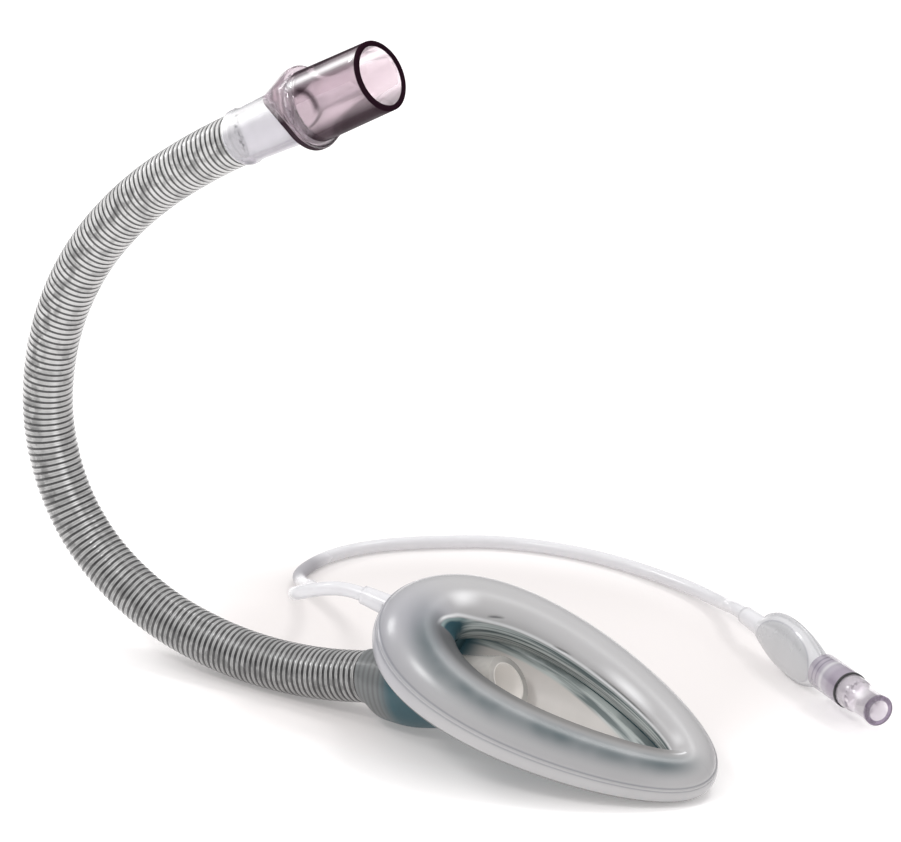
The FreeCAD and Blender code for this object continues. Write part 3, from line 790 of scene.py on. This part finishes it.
class AIRWAY_OT_tube(bpy.types.Operator):
    """Make the ribbed wire-wound tube"""
    bl_idname = "airway.tube"
    bl_label = "Tube"

    def execute(self, context):
        sizes = context.scene.airway_tube
        # The path starts a hair inside the collar and ends deep in the backplate's neck
        start = TUBE_START - CONNECTOR_AXIS * (0.1 * MM)
        points = [start] + TUBE_LINE[1:] + [TUBE_END + NECK_AXIS * COIL_IN_NECK]
        path = placed("tube_path", curve_through("tube_path", "POLY", points))
        values = {"Turns": sizes.turns, "Points per turn": POINTS_PER_TURN,
                  "Crest radius": sizes.crest_radius, "Groove depth": sizes.groove_depth}
        shape = grown("tube_wall", turns_tree(wire_wall_finish()), path, values)
        shape.shade_smooth()
        piece = placed("tube_wall", shape)
        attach(piece, AIRWAY)
        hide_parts("wire_coil")
        smooth_copy("airway_tube", "tube_liner", plain_finish("liner", (0.62, 0.62, 0.62), 0.3), AIRWAY)
        return {"FINISHED"}


# The mask, with its sizes in millimetres and degrees

RING_HALF_LENGTH = 32.9
RING_HALF_WIDTH = 14.5
RING_EGG = 0.275
CUFF_REACH_SIDE = 6.74
CUFF_REACH_HEEL = 9.0
CUFF_REACH_TIP = 5.3
CUFF_FLATNESS = 0.76
CUFF_DROOP = 21.0
CUFF_ROWS = 360
CUFF_COLUMNS = 180
SEAM_AROUND = 40.0
SEAM_WIDTH = 3.2
SEAM_LINE_GAP = 4.6
SEAM_LINE_WIDTH = 1.6
SEAM_LINE_DEPTH = 0.6
FOLD_DEPTH = 0.25
# Folds of the cuff's far inner side: start and end angle, level around the section, slope, width
FOLDS = [(126, 137, 163, 0.5, 2.2), (92, 101, 171, 0.3, 1.8), (44, 84, 171, 0.0, 2.4)]


def cuff_spot(angle, around, swell):
    """Point of the cuff's skin in the mask frame, in millimetres, with the skin raised by swell."""
    centre = Vector((RING_HALF_LENGTH * math.cos(angle),
                     RING_HALF_WIDTH * math.sin(angle) * (1 - RING_EGG * math.cos(angle)), 0))
    along = Vector((-RING_HALF_LENGTH * math.sin(angle),
                    RING_HALF_WIDTH * (math.cos(angle) - RING_EGG * math.cos(2 * angle)), 0)).normalized()
    outward = Vector((along.y, -along.x, 0))
    heel = ((1 - math.cos(angle)) / 2) ** 4
    tip = ((1 + math.cos(angle)) / 2) ** 4
    reach = CUFF_REACH_SIDE + (CUFF_REACH_HEEL - CUFF_REACH_SIDE) * heel
    reach += (CUFF_REACH_TIP - CUFF_REACH_SIDE) * tip
    droop = math.radians(CUFF_DROOP)
    long_way = outward * math.cos(droop) - UP * math.sin(droop)
    short_way = outward * math.sin(droop) + UP * math.cos(droop)
    long_part = long_way * ((reach + swell) * math.cos(around))
    return centre + long_part + short_way * ((reach * CUFF_FLATNESS + swell) * math.sin(around))


def fold_depth(angle, around, start, end, level, slope, width):
    """How deep a fold of the cuff's inner side is at a spot, from 0 to 1; all in degrees."""
    middle = (start + end) / 2
    reach = (end - start) / 2
    gone = abs(angle - middle) / reach
    off = around - level - slope * (angle - middle)
    return max(0.0, 1 - gone ** 2) * math.exp(-(off / width) ** 2)


def cuff_shape(seam_height):
    """Closed ring with a moulding seam between two fine lines, its folds, and its surface attributes."""
    made = bmesh.new()
    rows = []
    values = {"around": [], "along": [], "seam_line": [], "nearness": [], "fold": []}
    for i in range(CUFF_ROWS):
        angle = 2 * math.pi * i / CUFF_ROWS
        row = []
        for j in range(CUFF_COLUMNS):
            around = 2 * math.pi * j / CUFF_COLUMNS
            gap = math.degrees(math.remainder(around - math.radians(SEAM_AROUND), 2 * math.pi))
            bead = math.exp(-(gap / SEAM_WIDTH) ** 2)
            lines = math.exp(-((abs(gap) - SEAM_LINE_GAP) / SEAM_LINE_WIDTH) ** 2)
            fold = max(fold_depth(math.degrees(angle), math.degrees(around), *crease) for crease in FOLDS)
            swell = seam_height / MM * (bead - SEAM_LINE_DEPTH * lines) - FOLD_DEPTH * fold
            row.append(made.verts.new(TO_MASK @ (cuff_spot(angle, around, swell) * MM)))
            values["around"].append(j / CUFF_COLUMNS)
            values["along"].append(i / CUFF_ROWS)
            values["seam_line"].append(lines)
            values["nearness"].append(0.5 - 0.5 * math.sin(angle))
            values["fold"].append(fold)
        rows.append(row)
    for row, following in zip(rows, rows[1:] + rows[:1]):
        for j in range(CUFF_COLUMNS):
            k = (j + 1) % CUFF_COLUMNS
            made.faces.new((row[j], following[j], following[k], row[k]))
    bmesh.ops.recalc_face_normals(made, faces=made.faces)
    shape = bpy.data.meshes.new("cuff_skin")
    made.to_mesh(shape)
    made.free()
    shape.shade_smooth()
    for name, numbers in values.items():
        layer = shape.attributes.new(name, "FLOAT", "POINT")
        layer.data.foreach_set("value", numbers)
    return shape


class AIRWAY_OT_mask(bpy.types.Operator):
    """Make the cuff, its tail, the backplate, the bowl and the spout"""
    bl_idname = "airway.mask"
    bl_label = "Mask"

    def execute(self, context):
        cuff = placed("cuff_skin", cuff_shape(context.scene.airway_mask.seam_height), cuff_finish())
        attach(cuff, AIRWAY)
        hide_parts("inflatable_cuff")
        smooth_copy("cuff_tail", "cuff_tail_sleeve", line_finish(), AIRWAY)
        smooth_copy("mask_backplate", "backplate_shell", backplate_finish(), AIRWAY, FILM_CREASE)
        smooth_copy("bowl_floor", "bowl_lining", bowl_finish(), AIRWAY, FILM_CREASE)
        smooth_copy("mask_spout", "bowl_outlet", spout_finish(), AIRWAY)
        return {"FINISHED"}


class AIRWAY_OT_fittings(bpy.types.Operator):
    """Make the connector and its collar"""
    bl_idname = "airway.fittings"
    bl_label = "Connector and collar"

    def execute(self, context):
        smooth_copy("airway_connector", "cone_connector", connector_finish(), AIRWAY)
        smooth_copy("tube_collar", "clear_collar", collar_finish(), AIRWAY)
        return {"FINISHED"}


class AIRWAY_OT_pilot(bpy.types.Operator):
    """Make the inflation line, the pilot balloon and the valve"""
    bl_idname = "airway.pilot"
    bl_label = "Line, balloon and valve"

    def execute(self, context):
        rubber = plain_finish("gasket_rubber", (0.02, 0.02, 0.022), 0.45)
        white = plain_finish("stem_white", (0.8, 0.8, 0.82), 0.3)
        steel = plain_finish("spring_steel", (0.6, 0.6, 0.6), 0.25, 1.0)
        sleeve = smooth_copy("line_sleeve", "sleeve", line_finish(), AIRWAY)
        balloon = smooth_copy("pilot_balloon", "balloon", balloon_finish(), AIRWAY, FILM_CREASE)
        barrel = smooth_copy("valve_body", "valve_barrel", valve_finish(), AIRWAY)
        gasket = smooth_copy("valve_gasket", "gasket", rubber, AIRWAY)
        cap = smooth_copy("valve_cap", "luer_cap", cap_finish(), AIRWAY)
        stem = smooth_copy("valve_plunger", "plunger_stem", white, PLUNGER)
        seal = smooth_copy("plunger_seal", "seal", rubber, PLUNGER)
        spring = smooth_copy("valve_spring", "spring", steel, PLUNGER)
        curve = curve_through("pilot_line", "NURBS", LINE_ROUTE)
        curve.splines[0].order_u = 3
        curve.splines[0].use_endpoint_u = True
        curve.splines[0].resolution_u = 16
        curve.bevel_depth = LINE_DIAMETER / 2
        curve.bevel_resolution = 6
        curve.use_fill_caps = True
        line = placed("pilot_line", curve, line_finish())
        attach(line, AIRWAY)
        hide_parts("inflation_line")
        return {"FINISHED"}


# Stage

# Lamps: name, place, the point it aims at, side in metres, power in watts
LAMPS = [
    ("key", (-0.3, -0.75, 1.1), (0.03, 0.0, 0.03), 0.26, 3.4),
    ("left", (-1.0, -0.1, 0.85), (0.0, 0.0, 0.05), 0.3, 2.7),
    ("top", (0.25, 0.35, 1.1), (0.03, 0.0, 0.03), 0.3, 2.3),
]
CARD_DIRECTION = (0.83, 0.56, 0.0)
# Pool of painted shade on the paper: its middle, half width and half depth
POOL_MIDDLE = (0.008, 0.042, 0.0)
POOL_HALF_WIDTH = 0.090
POOL_HALF_DEPTH = 0.072
PAPER_HALF_SIZE = 4.0
PAPER_DROP = 0.2 * MM


def aim(holder, direction):
    """Turn a lamp or camera to look along a direction."""
    holder.rotation_euler = direction.to_track_quat("-Z", "Y").to_euler()


def add_camera(scene):
    """Long lens, placed by its angles round the target."""
    view = scene.airway_stage
    away = Vector((math.sin(view.turn) * math.cos(view.height), -math.cos(view.turn) * math.cos(view.height),
                   math.sin(view.height)))
    eye = bpy.data.cameras.new("camera")
    eye.lens = view.lens
    eye.sensor_width = 36
    eye.clip_start = 0.01
    eye.clip_end = 20
    scene.camera = placed("camera", eye)
    scene.camera.location = Vector(view.target) + away * view.distance
    aim(scene.camera, -away)


def add_world(scene):
    """Grey walls that grow lighter upwards, with a dark card on either side."""
    world = bpy.data.worlds.new("studio")
    world.use_nodes = True
    sky = Shading(world.node_tree, "Background")
    ray = sky.node("ShaderNodeTexCoord", output="Generated")
    height = sky.vector("DOT_PRODUCT", ray, UP, output="Value")
    side = sky.vector("DOT_PRODUCT", ray, CARD_DIRECTION, output="Value")
    card = (1 - height.between(0.2, 0.5)) * abs(side).between(0.55, 0.9)
    walls = sky.layers(
        (0.33, 0.33, 0.335),
        (height.between(0.05, 0.75), (0.92, 0.91, 0.91)),
        (card * 0.8, (0.05, 0.045, 0.05)),
    )
    sky.drive("Color", walls)
    scene.world = world


def add_lamp(name, place, target, side, power):
    lamp = bpy.data.lights.new(name, "AREA")
    lamp.size = side
    lamp.energy = power
    holder = placed(name, lamp)
    holder.location = place
    aim(holder, Vector(target) - Vector(place))


def paper_finish():
    """White paper with a soft, warm pool of shade under the object."""
    finish = Finish("paper", {"Emission Strength": 0.25, "Emission Color": (1.0, 0.985, 0.98)})
    across = finish.along(POOL_MIDDLE, (1, 0, 0)) / POOL_HALF_WIDTH
    deep = finish.along(POOL_MIDDLE, SIDE) / POOL_HALF_DEPTH
    pool = 1 - (across * across + deep * deep).root().between(0.60, 1.08)
    paper = finish.layers(
        (0.93, 0.92, 0.92),
        (finish.noise(3.0), (0.95, 0.94, 0.94)),
        (pool * 0.9, (0.57, 0.535, 0.525)),
    )
    return finish.done(paper, 0.8)


def add_paper():
    made = bmesh.new()
    bmesh.ops.create_grid(made, x_segments=2, y_segments=2, size=PAPER_HALF_SIZE)
    shape = bpy.data.meshes.new("floor")
    made.to_mesh(shape)
    made.free()
    floor = placed("floor", shape, paper_finish())
    floor.location.z = -PAPER_DROP


class AIRWAY_OT_stage(bpy.types.Operator):
    """Make the camera, the lights and the floor"""
    bl_idname = "airway.stage"
    bl_label = "Stage"

    def execute(self, context):
        add_camera(context.scene)
        add_world(context.scene)
        for lamp in LAMPS:
            add_lamp(*lamp)
        add_paper()
        context.scene.view_settings.view_transform = "Standard"
        return {"FINISHED"}


class AIRWAY_PT_panel(bpy.types.Panel):
    bl_label = "Laryngeal mask airway"
    bl_idname = "AIRWAY_PT_panel"
    bl_space_type = "VIEW_3D"
    bl_region_type = "UI"
    bl_category = "Airway"

    def draw(self, context):
        for group in GROUPS:
            settings = getattr(context.scene, group)
            box = self.layout.box()
            for name in settings.__annotations__:
                box.prop(settings, name)
        for operator in OPERATORS:
            self.layout.operator(operator.bl_idname)


GROUPS = {"airway_tube": AirwayTube, "airway_mask": AirwayMask, "airway_fittings": AirwayFittings,
          "airway_stage": AirwayStage}
OPERATORS = (AIRWAY_OT_stage, AIRWAY_OT_pilot, AIRWAY_OT_tube, AIRWAY_OT_mask, AIRWAY_OT_fittings)


def register():
    for name, group in GROUPS.items():
        bpy.utils.register_class(group)
        setattr(bpy.types.Scene, name, bpy.props.PointerProperty(type=group))
    for operator in OPERATORS:
        bpy.utils.register_class(operator)
    bpy.utils.register_class(AIRWAY_PT_panel)


def unregister():
    bpy.utils.unregister_class(AIRWAY_PT_panel)
    for operator in reversed(OPERATORS):
        bpy.utils.unregister_class(operator)
    for name, group in reversed(list(GROUPS.items())):
        delattr(bpy.types.Scene, name)
        bpy.utils.unregister_class(group)


def main():
    register()
    bpy.ops.airway.stage()
    bpy.ops.airway.pilot()
    bpy.ops.airway.tube()
    bpy.ops.airway.mask()
    bpy.ops.airway.fittings()


if __name__ == "__main__":
    main()
